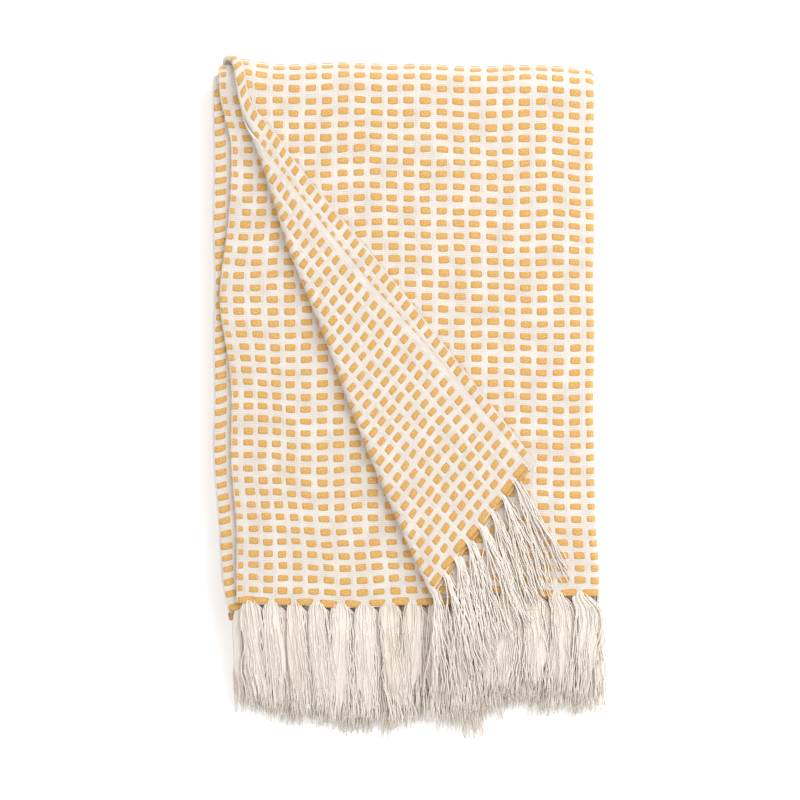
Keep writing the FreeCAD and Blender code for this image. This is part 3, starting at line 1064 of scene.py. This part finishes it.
def tassel_cores(name, centres, hem_y, n, facts, ends):
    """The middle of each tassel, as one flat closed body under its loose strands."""
    per = len(facts["tassel"]) // len(centres)
    lean, spread = facts["lean"][::per, None], facts["spread"][::per, None]
    length = FRINGE * ends * 0.92
    q = -0.6 * ROOT + (length[:, None] + 0.6 * ROOT) * np.linspace(0, 1, 18)[None, :]
    end = smooth((q / length[:, None] - 0.62) / 0.38)
    half = 0.84 * gather(q, spread) * (1 - 0.88 * end)
    middle = centres[:, None] + lean * LEAN * along_tassel(q) + splayed(centres, n)[:, None] * (
        smooth(q / SPLAY_LENGTH))
    middle = middle + 1.1 * MM * np.sin(q * 75.0 + 9.0 * lean) * smooth(q / (25 * MM))
    angle = np.arange(12) * 2 * math.pi / 12
    x = middle[..., None] + half[..., None] * np.cos(angle)
    y = np.broadcast_to((hem_y - q)[..., None], x.shape)
    thick = 0.75 * MM * smooth((q + ROOT) / ROOT) * (1 - 0.7 * end)
    z = fringe_level(n, y) + thick[..., None] * np.sin(angle)
    ring = settle(np.stack((x, y, z), axis=-1), float(n <= 4))
    ring[..., 2] = np.maximum(ring[..., 2], 0.3 * MM)
    apart = np.arange(len(centres))[:, None, None] * q.shape[1] * len(angle) * MM
    uv = np.stack((y, x - middle[..., None] + apart), axis=-1).reshape(-1, 2)
    faces = tube_faces(*x.shape, way=-1)
    return new_object(name, ring.reshape(-1, 3), faces, uv, [finish_of("bundle")])


def layer_paths(n, centres, f):
    """Paths of the strands of one layer's tassels, from its hem down to the floor."""
    strand = bpy.context.scene.throw_sizes.strand
    place = f["place"][:, None]
    q = -ROOT + (f["length"][:, None] + ROOT) * np.linspace(0, 1, 28)[None, :]
    lean = f["lean"] * LEAN + 8.0 * MM * (f["waves"][6] - 0.5)
    x = centres[f["tassel"]][:, None] + place * gather(q, f["spread"][:, None])
    x = x + lean[:, None] * along_tassel(q) + crimp(f, q)
    x = x + splayed(centres, n)[f["tassel"]][:, None] * smooth(q / SPLAY_LENGTH)
    if n % 2:
        # The tassel by the right edge bulges outwards.
        bulge = 6.0 * MM * np.sin(np.pi * np.clip(q / (44 * MM), 0, 1)) * (0.4 + 0.6 * place)
        x = x + (f["tassel"] == len(centres) - 1)[:, None] * bulge
    y = HEM_Y[n - 1] - q
    band = np.interp(q, (-ROOT, -1 * MM, 10 * MM), (0.6 * MM, 2.8 * MM, 2.4 * MM))
    z = fringe_level(n, y) + (f["height"][:, None] - 0.35) * band * np.sqrt(1 - 0.75 * place ** 2)
    z = z + 0.3 * crimp(f, q + 9 * MM)
    paths = settle(np.stack((x, y, z), axis=-1), float(n <= 4))
    paths[..., 2] = np.maximum(paths[..., 2], strand * 0.6)
    return paths


class THROW_OT_fringe(bpy.types.Operator):
    """Model the fringe of each of the eight hems, tassel by tassel and strand by strand"""

    bl_idname = "throw.fringe"
    bl_label = "Fringe"

    def execute(self, context):
        sizes = context.scene.throw_sizes
        for n in range(1, 9):
            rng = np.random.default_rng(40 + n)
            centres = tassel_centres(n)
            # Layers 5 to 7 lie between others, and need only half the strands.
            per_tassel = sizes.strands if n in (1, 2, 3, 4, 8) else sizes.strands // 2
            f = tassel_strands(rng, len(centres), per_tassel, FRINGE)
            # The two layers that end highest have longer tassels, so all end near one line.
            ends = np.interp(centres, *np.array(FRINGE_ENDS).T) * (1.07 if n in (1, 3) else 1.0)
            f["length"] *= ends[f["tassel"]]
            paths = layer_paths(n, centres, f)
            radius = sizes.strand / 2 * rng.uniform(0.8, 1.15, len(paths))
            piece = strands("fringe_%d" % n, paths, radius, f["tone"], finish_of("yarn"), n)
            core = tassel_cores("fringe_%d_core" % n, centres, HEM_Y[n - 1], n, f, ends)
            for made in (piece, core):
                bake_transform(made)
            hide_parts("fringe_row_%d" % n)
        return {"FINISHED"}


def turned_paths(order, middles, f):
    """Paths of the strands of one turned layer's tassels, over the front and its fringe."""
    steps = 34
    q = -ROOT + (f["length"][:, None] + ROOT) * np.linspace(0, 1, steps)[None, :]
    free = q > 0
    place, height = f["place"][:, None], f["height"][:, None]
    reach = middles[f["tassel"]]
    part = (CREASE_FOOT[0] - reach) / (CREASE_FOOT[0] - LEFT_X)
    # Each strand leaves across the hem, and soon turns to its own way down the front.
    end = np.radians(5 + 19 * part + 5.0 * f["lean"] + 8.0 * f["place"]
                     + 8.0 * (f["waves"][6] - 0.5))[:, None]
    angle = end + (math.radians(32) - end) * np.exp(-np.clip(q, 0, 1) / 0.007)
    hem_x = reach[:, None] - place * 2.4 * MM
    start = turn_back(order, hem_x, np.full_like(hem_x, HEM_Y[0]))
    step = np.where(free, np.diff(q, axis=1, prepend=q[:, :1]), 0.0)
    run = np.cumsum(step[..., None] * np.stack((np.sin(angle), -np.cos(angle)), axis=-1), axis=1)
    fan = place * 1.4 * MM * f["spread"][:, None] * smooth(q / (34 * MM))
    fan = np.where(free, fan, 0.0) + crimp(f, q)
    plan = start[..., :2] + run + fan[..., None] * np.stack((np.cos(angle), np.sin(angle)), axis=-1)
    # It sinks from the hem to the front, and with the front's tassels to the floor.
    down = fall(plan[..., 1])
    rest = (LAYER_Z[0] + 1.6 * MM) * (1 - down) + 15.5 * MM * down
    rest = rest + (order - 1) * 1.2 * MM + height * 1.8 * MM
    sink = smooth(q / (24 * MM))
    z = (start[..., 2] + (height - 0.4) * 2.4 * MM) * (1 - sink) + rest * sink
    on_cloth = turn_back(order, np.repeat(hem_x, steps, axis=1), HEM_Y[0] - np.minimum(q, 0))
    on_cloth[..., 2] += np.interp(q, (-ROOT, -1 * MM), (-0.6 * MM, 1.0 * MM)) * height
    return np.where(free[..., None], np.concatenate((plan, z[..., None]), axis=-1), on_cloth)


class THROW_OT_turned_fringe(bpy.types.Operator):
    """Model the tassels of the turned corner, which fall over the front"""

    bl_idname = "throw.turned_fringe"
    bl_label = "Turned Fringe"

    def execute(self, context):
        for order in (1, 2):
            rng = np.random.default_rng(70 + order)
            middles = turned_places(order)
            f = tassel_strands(rng, len(middles), 8 + 3 * order, FRINGE)
            paths = turned_paths(order, middles, f)
            radius = context.scene.throw_sizes.strand / 2 * rng.uniform(0.8, 1.15, len(paths))
            piece = strands("turned_fringe_%d" % order, paths, radius, f["tone"], finish_of("yarn"),
                            90 + order)
            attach(piece, "turned_corner")
            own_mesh(piece)
            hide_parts("turned_fringe_row_%d" % order)
        return {"FINISHED"}


# ---------------------------------------------------------------- the made pieces, gathered by name

class THROW_OT_declare_sheets(bpy.types.Operator):
    """Gather the made pieces by name; nothing is declared about them"""

    bl_idname = "throw.declare_sheets"
    bl_label = "Declare Sheets"

    def execute(self, context):
        made = {o.name: o for o in context.scene.objects}

        def on(*starts):
            return [made[n] for n in sorted(made) if n.startswith(starts)]

        def edge(*layers):
            return on(*("%s_%d" % (kind, n) for kind in ("hem", "fringe") for n in layers))

        return {"FINISHED"}


# ---------------------------------------------------------------- the stage

class THROW_OT_stage(bpy.types.Operator):
    """Set a white floor, soft daylight from all round with a wide lamp, and the camera above"""

    bl_idname = "throw.stage"
    bl_label = "Stage"

    def execute(self, context):
        scene = context.scene
        bpy.ops.mesh.primitive_plane_add(size=12.0, location=(0, 0, 0))
        floor = context.active_object
        floor.name = "floor"
        floor.data.transform(floor.matrix_world)
        floor.location = (0, 0, 0)
        floor.data.materials.append(finish_of("floor"))

        world = bpy.data.worlds.new("soft_daylight")
        world.use_nodes = True
        back = world.node_tree.nodes["Background"]
        back.inputs["Color"].default_value = linear("FFFFFF")
        back.inputs["Strength"].default_value = 0.80
        scene.world = world

        lamp = bpy.data.lights.new("wide_lamp", "AREA")
        lamp.shape, lamp.size, lamp.energy = "SQUARE", 2.2, 56.0
        lamp_object = bpy.data.objects.new("wide_lamp", lamp)
        scene.collection.objects.link(lamp_object)
        lamp_object.location = (1.5, 1.3, 2.1)
        aim = Vector((0, 0, 0)) - lamp_object.location
        lamp_object.rotation_euler = aim.to_track_quat("-Z", "Y").to_euler()

        camera = bpy.data.cameras.new("camera")
        camera.lens, camera.sensor_width = 140.0, 36.0
        camera.clip_end = 30.0
        view = bpy.data.objects.new("camera", camera)
        view.location = (-4.5 * MM, -2.6 * MM, 2.534)
        scene.collection.objects.link(view)
        scene.camera = view
        scene.view_settings.view_transform = "Standard"
        return {"FINISHED"}


# ---------------------------------------------------------------- the add-on

STEPS = (
    THROW_OT_cloth,
    THROW_OT_turned_corner,
    THROW_OT_weft_blocks,
    THROW_OT_hems,
    THROW_OT_fringe,
    THROW_OT_turned_fringe,
    THROW_OT_declare_sheets,
    THROW_OT_stage,
)


class THROW_PT_panel(bpy.types.Panel):
    """Sizes, colours and the steps that make the throw"""

    bl_idname = "THROW_PT_panel"
    bl_label = "Folded Fringed Throw"
    bl_space_type = "VIEW_3D"
    bl_region_type = "UI"
    bl_category = "Throw"

    def draw(self, context):
        layout = self.layout
        for group in (context.scene.throw_sizes, context.scene.throw_colours):
            for key in group.__annotations__:
                layout.prop(group, key)
        for step in STEPS:
            layout.operator(step.bl_idname)


CLASSES = (ThrowSizes, ThrowColours) + STEPS + (THROW_PT_panel,)


def register():
    """Register the classes and hang the settings on the scene."""
    for cls in CLASSES:
        bpy.utils.register_class(cls)
    bpy.types.Scene.throw_sizes = bpy.props.PointerProperty(type=ThrowSizes)
    bpy.types.Scene.throw_colours = bpy.props.PointerProperty(type=ThrowColours)


def unregister():
    """Take the settings and the classes away again."""
    del bpy.types.Scene.throw_colours
    del bpy.types.Scene.throw_sizes
    for cls in reversed(CLASSES):
        bpy.utils.unregister_class(cls)


def main():
    """Register the add-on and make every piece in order."""
    register()
    for obj in list(bpy.context.selected_objects):
        obj.select_set(False)
    for step in STEPS:
        group, name = step.bl_idname.split(".")
        getattr(getattr(bpy.ops, group), name)()


if __name__ == "__main__":
    main()
